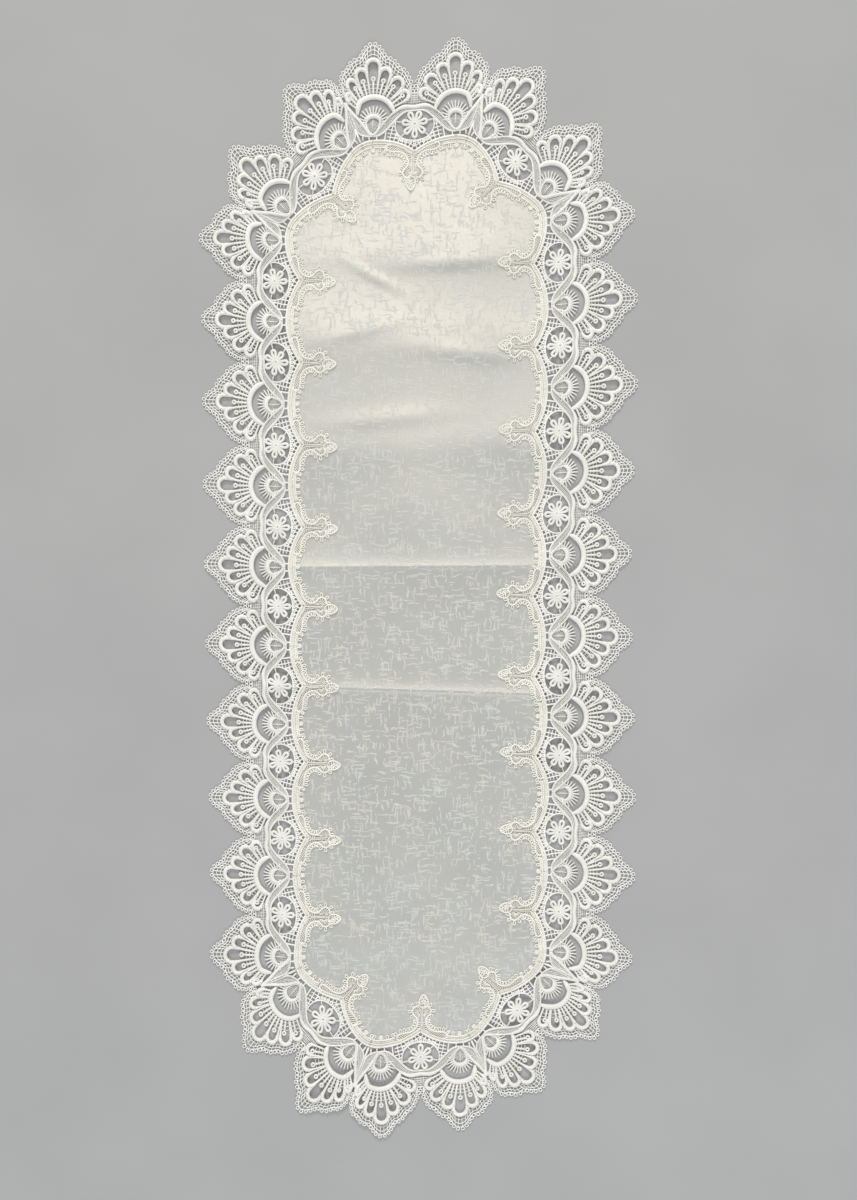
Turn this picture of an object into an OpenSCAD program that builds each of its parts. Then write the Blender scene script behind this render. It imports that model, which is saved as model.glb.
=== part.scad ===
// Lace-edged table runner: a scalloped cloth panel with eight mitred strips of shell lace sewn round it.
// Units are millimetres. +Y runs along the runner, +X across it, +Z out of its face, and z = 0 is the table.

/* [Lace repeat] */
// Length of one shell repeat along a strip
pitch = 67; // [55:0.5:80]
// Shells along each long side
side_shells = 10; // [4:1:12]
// Shells along each short end
end_shells = 2; // [2:1:5]
// Shells along each cut-off corner
corner_shells = 2; // [2:1:3]

/* [Thicknesses] */
// Thickness of the cloth panel
cloth_t = 0.5; // [0.3:0.1:1]
// Thickness of the corded lace
cord_t = 1.6; // [1:0.1:2.5]
// Thickness of the fine thread ground and the picot edge
thread_t = 0.8; // [0.5:0.1:1.2]
// Thickness of the braid sewn on top of the cloth
braid_t = 0.8; // [0.4:0.1:1.2]

/* [Hidden] */
$fn = 48;
STRIPS = ["right_side", "top_right_corner", "top_end", "top_left_corner",
          "left_side", "bottom_left_corner", "bottom_end", "bottom_right_corner"];
PIECES = ["ribbon", "shells", "pods", "daisies", "ladder", "scrolls", "picot_edge"];

// Every length below is a share of the pitch. In a strip's own frame x points outwards from the cloth and
// y runs along the strip. x = 0 is the line where the ribbon dips nearest to the cloth, beside each pod.
mitre_slope = tan(22.5);
past_pod = 0.18;        // from the last pod to the mitre, at x = 0
crowded_from = 0.15;    // beyond this distance from a pod, the last shell is crowded in at a mitre

cloth_gap = 0.055;      // from x = 0 to the crest of a cloth scallop
scallop_r = 0.884;      // radius of a cloth scallop
corner_r = past_pod / mitre_slope - cloth_gap; // radius of the wide scallop round a mitre
scallop_step = 0.1;
braid_w = 0.06;         // width of the braid along the cloth's edge
header_w = 0.02;        // width of the header thread beside the cloth's edge

ribbon_top = 0.31;      // height of the ribbon's outer edge over a daisy
ribbon_rise = 0.25;     // length over which that edge climbs from a pod
ribbon_step = 0.05;

daisy_x = 0.092;        // height of a daisy's centre
daisy_r = 0.15;         // length of its petals
daisy_petals = 7;
arch_r = 0.18;          // inner radius of the thread arch under a daisy
arch_w = 0.02;
arch_from = 50;         // where the arch starts, in degrees from straight outwards
bar_w = 0.018;          // width of a thread bar

pod_from = 0.02;
pod_to = 0.26;
pod_bars = [0.08, 0.125, 0.17];

shell_centre = 0.2;     // the point that a shell's petals fan out from
foot = 0.2;             // distance from the pod to the inside of a shell's foot on the ribbon
foot_to = 0.4;          // and to its outside
loops_to = 68;          // half the angle that the petals' outline spans
hollow_steps = 12;
picots = 12;            // picot loops on each half of a shell
picots_to = 60;         // half the angle that they span
picot_h = 0.02;
valley_x = 0.455;       // bottom of the notch between neighbouring shells
petal_root = 0.44;      // how far from the shell's centre the petals part

// The petals of half a shell, from the middle outwards: [x, y, radius] of the cord, its hole and the mesh edge.
CORD_LOOPS = [[0.765, 0, 0.098], [0.672, 0.148, 0.088], [0.552, 0.288, 0.082], [0.435, 0.39, 0.075]];
HOLES = [[0.757, 0, 0.062], [0.672, 0.148, 0.05], [0.558, 0.288, 0.045], [0.44, 0.385, 0.036]];
EDGE_LOOPS = [[0.87, 0, 0.165], [0.745, 0.19, 0.13], [0.60, 0.335, 0.118], [0.47, 0.395, 0.08]];
EYELETS = [[0.63, 0], [0.585, 0.11], [0.5, 0.2]];
MESH_HOLES = [[0.94, 0, 0.03], [0.895, 0.08, 0.022], [0.82, 0.14, 0.022], [0.785, 0.215, 0.022],
              [0.725, 0.27, 0.02], [0.66, 0.345, 0.02], [0.60, 0.395, 0.018]];
eyelet_r = 0.022;
slot_from = 0.245;      // the slots between the satin columns, measured out from the pod's head
slot_to = 0.36;
slot_w = 0.018;
SLOT_ANGLES = [8.5, 26, 45];
column_centre = 0.22;

function smooth(t) = let (c = max(0, min(1, t))) c * c * (3 - 2 * c);
function ribbon_outer(a) = ribbon_top * smooth(a / ribbon_rise);
function ribbon_inner(a) = -0.02 + 0.29 * smooth((a - 0.06) / 0.4);
function scallop(a, grow = 0, r = scallop_r) = -cloth_gap - r + sqrt(pow(r + grow, 2) - a * a);
function backwards(v) = [for (i = [len(v) - 1 : -1 : 0]) v[i]];

// The value of f at a, read off the straight segments that f is drawn with.
function on_segments(f, a, step) = let (s = floor(a / step) * step) f(s) + (f(s + step) - f(s)) * (a - s) / step;

// Where f changes from negative to positive between lo and hi.
function crossing(f, lo, hi, n = 24) =
    n == 0 ? lo : let (m = (lo + hi) / 2) f(m) < 0 ? crossing(f, m, hi, n - 1) : crossing(f, lo, m, n - 1);

// How far along the strip the mitre is from the last pod at height x, and where a point goes once crowded in.
function mitre_at(x) = past_pod + x * mitre_slope;
function crowded(a, x) = a < crowded_from ? a
    : crowded_from + (a - crowded_from) * (mitre_at(x) - crowded_from) / (0.5 - crowded_from);

// A point [x, y] of pod i's repeat, moved to its place on a strip of n pods and put in millimetres.
function pod_y(i, n) = i - (n - 1) / 2;
function beside_mitre(y, i, n) = (i == n - 1 && y > 0) || (i == 0 && y < 0);
function placed(p, i, n) =
    let (a = beside_mitre(p[1], i, n) ? crowded(abs(p[1]), p[0]) : abs(p[1]))
    [p[0] * pitch, (pod_y(i, n) + sign(p[1]) * a) * pitch];
function all_placed(pts, i, n) = [for (p = pts) placed(p, i, n)];
module at(p, i, n) translate(concat(placed(p, i, n), [-1])) children();

// The octagon that the pods stand on, and each strip's own frame: [pods, angle, centre x, centre y].
function strip_len(n) = (n - 1 + 2 * past_pod) * pitch;
half_side = strip_len(side_shells) / 2;
half_end = strip_len(end_shells) / 2;
corner_run = strip_len(corner_shells) / sqrt(2);
FRAMES = [
    [side_shells, 0, half_end + corner_run, 0],
    [corner_shells, 45, half_end + corner_run / 2, half_side + corner_run / 2],
    [end_shells, 90, 0, half_side + corner_run],
    [corner_shells, 135, -half_end - corner_run / 2, half_side + corner_run / 2],
    [side_shells, 180, -half_end - corner_run, 0],
    [corner_shells, 225, -half_end - corner_run / 2, -half_side - corner_run / 2],
    [end_shells, 270, 0, -half_side - corner_run],
    [corner_shells, 315, half_end + corner_run / 2, -half_side - corner_run / 2]
];
module on_strip(k) translate([FRAMES[k][2], FRAMES[k][3], 0]) rotate(FRAMES[k][1]) children();
function to_runner(p, k) =
    let (a = FRAMES[k][1])
    [FRAMES[k][2] + p[0] * cos(a) - p[1] * sin(a), FRAMES[k][3] + p[0] * sin(a) + p[1] * cos(a)];

// The cloth's edge along a strip of n pods from mitre to mitre, moved outwards by grow.
function corner_arc(n, side, grow) = [
    for (a = [22.5 : -7.5 : 7]) [(-cloth_gap - corner_r + (corner_r + grow) * cos(a)) * pitch,
                                 side * (pod_y(n - 1, n) + (corner_r + grow) * sin(a)) * pitch]
];
function edge_line(n, grow) = concat(
    corner_arc(n, -1, grow),
    [for (j = [0 : round((n - 1) / scallop_step)])
        let (y = j * scallop_step, a = abs(y - round(y)))
        [scallop(a, grow) * pitch, (pod_y(0, n) + y) * pitch]],
    backwards(corner_arc(n, 1, grow)));

// Cloth: the panel inside the lace, with a scallop for each repeat and a wide one round each mitre.
module cloth_panel() color("#d6d5cc") linear_extrude(cloth_t)
    polygon([for (k = [0 : 7]) let (e = edge_line(FRAMES[k][0], 0)) for (i = [1 : len(e) - 1]) to_runner(e[i], k)]);

// Ribbon: the wavy tape that dips beside each pod and arches over each daisy.
module ribbon(k) {
    n = FRAMES[k][0];
    reach = crossing(function(y) y - mitre_at(ribbon_inner(y)), crowded_from, 0.4);
    inner = [for (j = [0 : round((n - 1) / ribbon_step)])
                let (y = j * ribbon_step, a = abs(y - round(y))) [ribbon_inner(a), y + pod_y(0, n)]];
    ends = [for (a = [0.05 : 0.05 : reach]) a];
    below = concat([for (a = concat([reach], backwards(ends))) [ribbon_inner(a), pod_y(0, n) - a]], inner,
                   [for (a = concat(ends, [reach])) [ribbon_inner(a), pod_y(n - 1, n) + a]]);
    rise = [for (a = [0 : 0.025 : ribbon_rise + 0.001]) a];
    half = concat([0.5], backwards(rise));
    above = [for (i = [0 : n - 1]) each concat(
        all_placed([for (a = half) [ribbon_outer(a), -a]], i, n),
        all_placed([for (j = [1 : len(rise) - 1]) [ribbon_outer(rise[j]), rise[j]]], i, n))];
    last = placed([ribbon_top, 0.5], n - 1, n);
    color("#efece2") on_strip(k) linear_extrude(cord_t)
        polygon(concat(above, [last], backwards(below * pitch)));
}

// Distance from a shell's centre to the outside of a set of loops, in the direction given.
function hit(c, a) =
    let (dx = c[0] - shell_centre, along = dx * cos(a) + c[1] * sin(a), off = c[1] * cos(a) - dx * sin(a))
    abs(off) >= c[2] ? 0 : along + sqrt(c[2] * c[2] - off * off);
function envelope(loops, a) = max([petal_root, for (c = loops) max(hit(c, a), hit([c[0], -c[1], c[2]], a))]);
function on_ray(r, a) = [shell_centre + r * cos(a), r * sin(a)];

// The line round the petals of a shell, from foot to foot.
function petal_line() = concat([[ribbon_top, -foot_to]],
    [for (a = [-loops_to : 4 : loops_to]) on_ray(envelope(CORD_LOOPS, a), a)], [[ribbon_top, foot_to]]);

// The open hollow over a pod, from one foot to the other. The feet follow the ribbon's edge.
function hollow_line() =
    let (feet = [0.25, 0.225, foot],
         top = [ribbon_outer(foot) - shell_centre, foot], r = norm(top), from = atan2(top[1], top[0]))
    concat([for (a = feet) [ribbon_outer(a), a]],
           [for (i = [1 : hollow_steps - 1]) let (a = from - 2 * from * i / hollow_steps) on_ray(r, a)],
           [for (a = backwards(feet)) [ribbon_outer(a), -a]]);

// Places its child at both sides of the pod, once where the place is on the centre line.
module both_sides(p, i, n) for (side = p[1] == 0 ? [1] : [-1, 1]) at([p[0], side * p[1]], i, n) children();
module drill(p, r, i, n) for (side = p[1] == 0 ? [1] : [-1, 1])
    at([p[0], side * p[1]], i, n)
        cylinder(r = r * pitch * (beside_mitre(side * p[1], i, n) && p[1] > 0.2 ? 0.62 : 1), h = 5);

// Shells: the fan of corded petals over each pod, open in each petal, with satin columns and their eyelets.
module shells(k) {
    n = FRAMES[k][0];
    color("#f3f0e6") on_strip(k) for (i = [0 : n - 1]) difference() {
        linear_extrude(cord_t) polygon(all_placed(concat(petal_line(), hollow_line()), i, n));
        for (h = HOLES) drill(h, h[2], i, n);
        for (e = EYELETS) drill(e, eyelet_r, i, n);
        translate([column_centre * pitch, pod_y(i, n) * pitch, -1]) for (a = SLOT_ANGLES) for (side = [-1, 1])
            rotate(side * a) translate([slot_from * pitch, -slot_w * pitch / 2, 0])
                cube([(slot_to - slot_from) * pitch, slot_w * pitch, 5]);
    }
}

// Picot edge: the fine mesh round the outside of the shells of a strip, with its toothed outline.
module picot_edge(k) {
    n = FRAMES[k][0];
    teeth = [for (j = [-2 * picots : 2 * picots])
                let (a = picots_to * j / (2 * picots)) on_ray(envelope(EDGE_LOOPS, a) + (j % 2 == 0 ? 0 : picot_h), a)];
    above = [for (i = [0 : n - 1]) each all_placed(concat([[valley_x, -0.5]], teeth), i, n)];
    below = [for (i = [0 : n - 1]) each all_placed(concat([[ribbon_top, -0.5]], petal_line()), i, n)];
    color("#ebe8de") on_strip(k) difference() {
        linear_extrude(thread_t) polygon(concat(above, [placed([valley_x, 0.5], n - 1, n)],
            [placed([ribbon_top, 0.5], n - 1, n)], backwards(below)));
        for (i = [0 : n - 1]) for (h = MESH_HOLES) drill(h, h[2], i, n);
    }
}

// Pods: the seed-shaped motif in each hollow, tied to the ribbon by short bars.
function pod_half(t) = 0.09 * sin(t) * (1 - 0.25 * cos(t));
function rise_at(x) = crossing(function(a) on_segments(function(b) ribbon_outer(b), a, 0.025) - x, 0, ribbon_rise);
module pods(k) {
    n = FRAMES[k][0];
    mid = (pod_from + pod_to) / 2;
    outline = [for (t = [0 : 20 : 340]) [mid - (pod_to - mid) * cos(t), pod_half(t)]];
    color("#f3f0e6") on_strip(k) for (i = [0 : n - 1]) translate([0, pod_y(i, n) * pitch, 0]) {
        linear_extrude(cord_t) polygon(outline * pitch);
        for (x = pod_bars) let (a = rise_at(x - bar_w / 2), b = rise_at(x + bar_w / 2))
            linear_extrude(thread_t)
                polygon([[x - bar_w / 2, -a], [x + bar_w / 2, -b], [x + bar_w / 2, b], [x - bar_w / 2, a]] * pitch);
    }
}

// Daisies: the seven-petalled flower in each arch, its petals tied to the ribbon and the thread arch.
function daisy_tie(a) = sin(a) < sin(90 - arch_from) ? arch_r
    : crossing(function(r) daisy_x + r * sin(a)
        - on_segments(function(b) ribbon_inner(b), 0.5 - abs(r * cos(a)), ribbon_step), 0.1, 0.26) - 0.002;
module daisies(k) {
    n = FRAMES[k][0];
    turn = 360 / daisy_petals;
    half = [[turn / 2, 0.3 * daisy_r], [17, 0.72 * daisy_r], [13, 0.92 * daisy_r], [5, daisy_r]];
    petals = [for (j = [0 : daisy_petals - 1]) let (a = -90 + j * turn, tie = daisy_tie(a))
        each concat([for (h = half) [a - h[0], h[1]]], [[a - 1.5, tie], [a + 1.5, tie]],
                    [for (h = [3, 2, 1]) [a + half[h][0], half[h][1]]])];
    color("#f3f0e6") on_strip(k) linear_extrude(cord_t) for (i = [0 : 1 : n - 2])
        polygon([for (p = petals) [daisy_x + p[1] * sin(p[0]), pod_y(i, n) + 0.5 + p[1] * cos(p[0])]] * pitch);
}

// Ladder: the header thread along the cloth's edge, and the bars and arches that carry the ribbon and daisies.
module bar(y, from, to) linear_extrude(thread_t)
    polygon([[from + header_w / 2, y - bar_w / 2], [to(y - bar_w / 2), y - bar_w / 2],
             [to(y + bar_w / 2), y + bar_w / 2], [from + header_w / 2, y + bar_w / 2]] * pitch);
module arch() translate([daisy_x * pitch, 0]) rotate(arch_from) rotate_extrude(angle = 360 - 2 * arch_from)
    translate([arch_r * pitch, 0]) square([arch_w * pitch, thread_t]);
module ladder(k) {
    n = FRAMES[k][0];
    under_ribbon = function(a) on_segments(function(b) ribbon_inner(b), a, ribbon_step);
    in_arch = function(a) daisy_x - sqrt(pow(arch_r + arch_w / 2, 2) - pow(a - 0.5, 2));
    color("#ebe8de") on_strip(k) {
        linear_extrude(thread_t) polygon(concat(edge_line(n, header_w), backwards(edge_line(n, 0))));
        for (i = [0 : n - 1]) translate([0, pod_y(i, n) * pitch, 0]) for (side = [0, 1]) mirror([0, side, 0]) {
            last = side == 0 ? i == n - 1 : i == 0;
            if (last) for (y = [0.025, 0.125]) bar(y, scallop(y, 0, corner_r), under_ribbon);
            else for (y = [0.025, 0.125, 0.225]) bar(y, scallop(y), under_ribbon);
            if (!last) for (y = [0.375, 0.425, 0.475]) bar(y, scallop(y), in_arch);
        }
        for (i = [0 : 1 : n - 2]) translate([0, (pod_y(i, n) + 0.5) * pitch, 0]) arch();
    }
}

// Scrolls: the braid on the cloth along its edge. At each valley a stem runs inwards to a leaf and two buds.
module ring(x, y, r, wall) translate([x, y] * pitch) difference() {
    cylinder(r = r * pitch, h = braid_t);
    translate([0, 0, -1]) cylinder(r = (r - wall) * pitch, h = braid_t + 2);
}
module stem(from, to, w) linear_extrude(braid_t)
    let (d = (to - from) / norm(to - from), s = [-d[1], d[0]] * w / 2)
    polygon([from + s, from - s, to - s, to + s] * pitch);
module motif() {
    valley = scallop(0.5);
    for (side = [-1, 1]) stem([valley, side * 0.018], [valley - 0.32, side * 0.018], 0.014);
    linear_extrude(braid_t) difference() {
        polygon([for (a = [0 : 30 : 330]) [valley - 0.37 - 0.075 * cos(a), 0.048 * sin(a)]] * pitch);
        polygon([for (a = [0 : 60 : 300]) [valley - 0.37 - 0.05 * cos(a), 0.025 * sin(a)]] * pitch);
    }
    stem([valley - 0.16, 0.018], [valley - 0.25, 0.13], 0.016);
    stem([valley - 0.16, -0.018], [valley - 0.25, -0.08], 0.016);
    ring(valley - 0.26, 0.15, 0.036, 0.018);
    ring(valley - 0.27, -0.1, 0.036, 0.018);
    for (side = [-1, 1]) ring(scallop(0.3) - braid_w - 0.022, side * 0.2, 0.034, 0.016);
}
module scrolls(k) {
    n = FRAMES[k][0];
    color("#f1eee2") translate([0, 0, cloth_t]) on_strip(k) {
        linear_extrude(braid_t) polygon(concat(edge_line(n, 0), backwards(edge_line(n, -braid_w))));
        for (i = [0 : 1 : n - 2]) translate([0, (pod_y(i, n) + 0.5) * pitch, 0]) motif();
    }
}

// Mitre stitches: the zigzag of thread over the join between the ribbons of neighbouring strips.
stitch_t = 0.4;
stitch_w = 0.008;
module mitre_stitches() {
    from = 0.12;
    zigzag = [for (i = [0 : 6]) [from + i * 0.03, i % 2 == 0 ? -0.02 : 0.02]];
    color("#ece8dc") for (k = [0 : 7]) on_strip(k)
        translate([0, (pod_y(FRAMES[k][0] - 1, FRAMES[k][0]) + past_pod) * pitch, cord_t]) rotate(22.5)
            linear_extrude(stitch_t) polygon(concat([for (p = zigzag) p - [0, stitch_w]],
                [for (p = backwards(zigzag)) p + [0, stitch_w]]) * pitch);
}

module piece(name, k) {
    if (name == "ribbon") ribbon(k);
    if (name == "shells") shells(k);
    if (name == "pods") pods(k);
    if (name == "daisies") daisies(k);
    if (name == "ladder") ladder(k);
    if (name == "scrolls") scrolls(k);
    if (name == "picot_edge") picot_edge(k);
}

cloth_panel();
mitre_stitches();
for (k = [0 : 7]) for (p = PIECES) piece(p, k);
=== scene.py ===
"""Looks of the lace-edged table runner: a figured cloth, and eight strips of lace made of swept threads.

Lace shapes are drawn once, in pitches (one pitch is one shell repeat), as points [outwards, along] from the
dip of the ribbon beside a pod, or from the valley between two pods. They are then laid along the eight strips
of the border, which lie where the CAD has them apart from the wander in drift().
"""
from collections import namedtuple

import bpy
import numpy as np
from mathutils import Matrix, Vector
from mathutils.geometry import delaunay_2d_cdt


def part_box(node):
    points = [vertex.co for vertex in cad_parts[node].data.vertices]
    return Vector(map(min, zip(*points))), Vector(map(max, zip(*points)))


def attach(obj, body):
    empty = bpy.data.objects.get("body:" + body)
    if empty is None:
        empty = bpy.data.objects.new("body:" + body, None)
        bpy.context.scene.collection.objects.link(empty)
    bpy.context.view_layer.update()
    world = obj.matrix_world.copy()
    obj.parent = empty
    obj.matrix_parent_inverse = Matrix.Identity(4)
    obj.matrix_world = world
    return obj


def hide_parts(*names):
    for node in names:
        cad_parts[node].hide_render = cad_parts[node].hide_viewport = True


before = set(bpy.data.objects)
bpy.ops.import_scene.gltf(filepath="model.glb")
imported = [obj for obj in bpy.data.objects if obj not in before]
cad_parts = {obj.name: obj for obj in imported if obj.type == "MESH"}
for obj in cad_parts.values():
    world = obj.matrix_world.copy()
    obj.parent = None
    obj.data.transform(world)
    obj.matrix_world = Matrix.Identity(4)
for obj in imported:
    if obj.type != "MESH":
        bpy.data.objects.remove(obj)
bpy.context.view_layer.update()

MM = 0.001

# The octagon of strips, as in the CAD: lengths are in pitches, and the pitch itself is read off the ribbon.
MITRE_SLOPE = np.tan(np.radians(22.5))
PAST_POD = 0.18         # from a strip's last pod to the mitre, at the dip line
CROWDED_FROM = 0.15     # beyond this distance from a pod, the last shell is crowded in at a mitre
RIBBON_END = 0.31       # height of the corner where the CAD ribbons meet on a mitre
SIDE_PODS, END_PODS, CORNER_PODS = 10, 2, 2
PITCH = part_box("right_side_ribbon")[1].y / ((SIDE_PODS - 1) / 2 + PAST_POD + RIBBON_END * MITRE_SLOPE)

CLOTH_GAP = 0.055       # from the dip line to the crest of a cloth scallop
SCALLOP_R = 0.884
CORNER_R = PAST_POD / MITRE_SLOPE - CLOTH_GAP
CLOTH_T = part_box("cloth_panel")[1].z
DAISY_OUT = 0.088
ARC_AT = (0.193, 0)     # centre of a shell's heavy arc
POD_AT = (0.14, 0)      # centre of a pod's rays

Strip = namedtuple("Strip", "name pods angle centre")
Thread = namedtuple("Thread", "line wide high lift sides closed")


def strip_length(pods):
    return (pods - 1 + 2 * PAST_POD) * PITCH


def all_strips():
    side, end = strip_length(SIDE_PODS) / 2, strip_length(END_PODS) / 2
    run = strip_length(CORNER_PODS) / np.sqrt(2)
    across, up = end + run, side + run
    near_x, near_y = end + run / 2, side + run / 2
    rows = [("right_side", SIDE_PODS, across, 0), ("top_right_corner", CORNER_PODS, near_x, near_y),
            ("top_end", END_PODS, 0, up), ("top_left_corner", CORNER_PODS, -near_x, near_y),
            ("left_side", SIDE_PODS, -across, 0), ("bottom_left_corner", CORNER_PODS, -near_x, -near_y),
            ("bottom_end", END_PODS, 0, -up), ("bottom_right_corner", CORNER_PODS, near_x, -near_y)]
    return [Strip(name, pods, 45 * k, (x, y)) for k, (name, pods, x, y) in enumerate(rows)]


STRIPS = all_strips()


# ---------------------------------------------------------------- curves, in pitches

def smooth(t):
    t = np.clip(t, 0, 1)
    return t * t * (3 - 2 * t)


def polar(centre, radius, degrees):
    """Points about a centre; 0 degrees points outwards from the cloth."""
    turn = np.radians(degrees)
    return np.column_stack([centre[0] + radius * np.cos(turn), centre[1] + radius * np.sin(turn)])


def spline(points, steps):
    """A smooth line through the points, with a number of steps from each to the next."""
    p = np.asarray(points, float)
    p = np.vstack([2 * p[0] - p[1], p, 2 * p[-1] - p[-2]])
    t = np.linspace(0, 1, steps, endpoint=False)[:, None]
    runs = [0.5 * (2 * b + (c - a) * t + (2 * a - 5 * b + 4 * c - d) * t**2 + (3 * b - a - 3 * c + d) * t**3)
            for a, b, c, d in zip(p, p[1:], p[2:], p[3:])]
    return np.vstack(runs + [p[-2:-1]])


def run_along(line):
    """How far along a line each of its points is."""
    return np.concatenate([[0], np.cumsum(np.linalg.norm(np.diff(line, axis=0), axis=1))])


def length_share(line):
    """The same as a share of the whole length."""
    gone = run_along(line)
    return gone / gone[-1]


def evenly(line, count):
    """The line again, as a number of evenly spaced points."""
    gone = run_along(line)
    at = np.linspace(0, gone[-1], count)
    return np.column_stack([np.interp(at, gone, line[:, k]) for k in (0, 1)])


def length_of(line):
    return np.linalg.norm(np.diff(line, axis=0), axis=1).sum()


def side_steps(line):
    """Unit steps to the left of a line, one for each of its points."""
    along = np.gradient(line, axis=0)
    along /= np.linalg.norm(along, axis=1)[:, None]
    return np.column_stack([-along[:, 1], along[:, 0]])


def ribbon_outer(along):
    """How far out the ribbon's outer edge is, at a distance from the pod that it dips beside."""
    rounded = np.hypot(along, 0.02) - 0.02
    rise = 0.3 * np.sin(np.pi / 2 * np.minimum(rounded / 0.38, 1))
    return rise - 0.012 * smooth((along - 0.38) / 0.12)


def ribbon_inner(along):
    """The same for its inner edge."""
    return -0.008 + 0.255 * smooth((along - 0.04) / 0.385)


def arch_radius(degrees):
    """The cloth side of the opening round a daisy, at an angle from straight inwards."""
    return 0.18 + 0.055 * np.sin(np.radians(degrees)) ** 2


def cloth_edge(grow, count=13):
    """Half a scallop of the cloth's edge, from beside the pod to the valley, moved outwards by grow."""
    end = np.degrees(np.arcsin(0.5 / (SCALLOP_R + grow)))
    return polar((-CLOTH_GAP - SCALLOP_R, 0), SCALLOP_R + grow, np.linspace(0, end, count))


def corner_edge(grow):
    """The same beside a mitre, where the scallop's radius is smaller and it ends on the mitre."""
    return polar((-CLOTH_GAP - CORNER_R, 0), CORNER_R + grow, np.linspace(0, 22.5, 9))


# ---------------------------------------------------------------- threads

def thread(line, wide, high, lift=None, sides=6, closed=False):
    """A thread along a line in pitches. Its half width, its half height and its centre's lift are in mm."""
    line = np.asarray(line, float)
    wide = np.broadcast_to(wide, len(line)).astype(float)
    high = np.broadcast_to(high, len(line)).astype(float)
    lift = high if lift is None else np.broadcast_to(lift, len(line)).astype(float)
    return Thread(line, wide, high, lift, sides, closed)


def fine(line, wide=0.25, lift=0.5):
    return thread(line, wide, wide * 0.8, lift, 4)


def mirrored(threads):
    return [t._replace(line=t.line * (1, -1)) for t in threads]


def both_sides(threads):
    return threads + mirrored(threads)


HALF_CLOTH, LACE_WIDE = 0.11, 0.065     # roughly, in metres


def drift(p):
    """Points in metres, moved to where the real runner has them: it lies a little askew, its ends are pulled
    out and its shells lean. The steps below are in mm."""
    x, y = p[:, 0], p[:, 1]
    side = np.clip(x / HALF_CLOTH, -1, 1)
    beyond = np.maximum(np.abs(x) - HALF_CLOTH, 0) / LACE_WIDE
    up = np.clip(y / 0.234, -1.2, 1.2)
    ends_y = 3.5 * smooth((np.abs(y) - 0.06) / 0.17) + 6 * smooth((y - 0.3) / 0.15)
    ends_y -= 12 * smooth((-y - 0.24) / 0.2)
    askew_y = side * (4 + 2.5 * up + 8 * smooth((-y - 0.28) / 0.14))
    leaning_y = beyond * np.where(x < 0, 2.8, 5 * up)
    bowed_x = 1.3 * side + (0.7 + 0.5 * side) * (1 + 0.8 * beyond) * np.cos(2 * np.pi * (y - 0.2) / 0.38)
    drawn_in_x = -side * beyond * (2.4 - 1.1 * side)
    fine_x = 0.35 * np.sin(y / 0.0153 + x / 0.021 + 1.0)
    fine_y = 0.35 * np.sin(x / 0.0137 - y / 0.0191 + 2.6)
    return np.column_stack([x + MM * (bowed_x + drawn_in_x + fine_x),
                            y + MM * (ends_y + askew_y + leaning_y + fine_y)])


# The pressed-in folds, in metres. A slant is the rise along the runner for each metre across it.
CREASES = [
    # place along the runner, slant, how far the broad rise reaches towards the top end
    (0.0290, 0.00, 0.022), (-0.075, -0.036, 0.016),
]
# A crease's broad rise and its reach the other way, then the height and both reaches of a sharp rise on it.
BROAD_RISE, BROAD_FALL = 0.0015, 0.045
SHARP_RISE, SHARP_REACH, SHARP_FALL = 0.0011, 0.006, 0.003
SOFT_FOLDS = [
    # place, slant, height, half width
    (0.289, 0.02, 0.0010, 0.016), (0.217, -0.02, 0.0012, 0.022), (0.130, 0.03, 0.0010, 0.020),
    (-0.138, 0.01, 0.0008, 0.018), (-0.185, -0.01, 0.0006, 0.016), (-0.287, 0.01, 0.0008, 0.022),
]
WRINKLES = [
    # middle, slant, height, half length, half width
    (-0.034, 0.268, -0.50, 0.0007, 0.020, 0.0045), (0.030, 0.280, 0.06, 0.0008, 0.045, 0.006),
    (-0.045, 0.225, 0.25, 0.0008, 0.030, 0.006), (0.040, 0.206, -0.10, 0.0008, 0.035, 0.007),
    (-0.030, 0.152, 0.08, 0.0008, 0.050, 0.008), (0.050, -0.160, 0.25, 0.0006, 0.030, 0.008),
]
WAVES = 0.0004          # the low waves all over the runner


def relief(p):
    """How high the underside lies off the table: the folds, fading towards the runner's rim."""
    x, y = p[:, 0], p[:, 1]
    height = np.zeros(len(p))
    for row_at, slant, broad_reach in CREASES:
        off = y - row_at - slant * x
        height += BROAD_RISE * np.where(off > 0, np.exp(-off / broad_reach), np.exp(off / BROAD_FALL))
        height += SHARP_RISE * np.where(off > 0, np.exp(-off / SHARP_REACH), np.exp(off / SHARP_FALL))
    for row_at, slant, rise, width in SOFT_FOLDS:
        height += rise * np.exp(-(((y - row_at - slant * x) / width) ** 2))
    for mid_x, mid_y, slant, rise, length, width in WRINKLES:
        off = (y - mid_y - slant * (x - mid_x)) / width
        height += rise * np.exp(-(off**2) - ((x - mid_x) / length) ** 2)
    height += WAVES * (1 + np.sin(x / 0.031 + y / 0.047)) * (1 + np.sin(y / 0.036 - x / 0.06))
    side_strip = STRIPS[0].centre[0]
    return height * (1 - 0.7 * smooth((np.abs(x) - 0.8 * side_strip) / (0.6 * side_strip)))


def crowd(far, out):
    """Moves the outer part of a strip's last shell in, so that it ends on the mitre."""
    room = PAST_POD + out * MITRE_SLOPE - CROWDED_FROM
    beyond = far - CROWDED_FROM
    return np.where(far < CROWDED_FROM, far, CROWDED_FROM + beyond * room / (0.5 - CROWDED_FROM))


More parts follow.
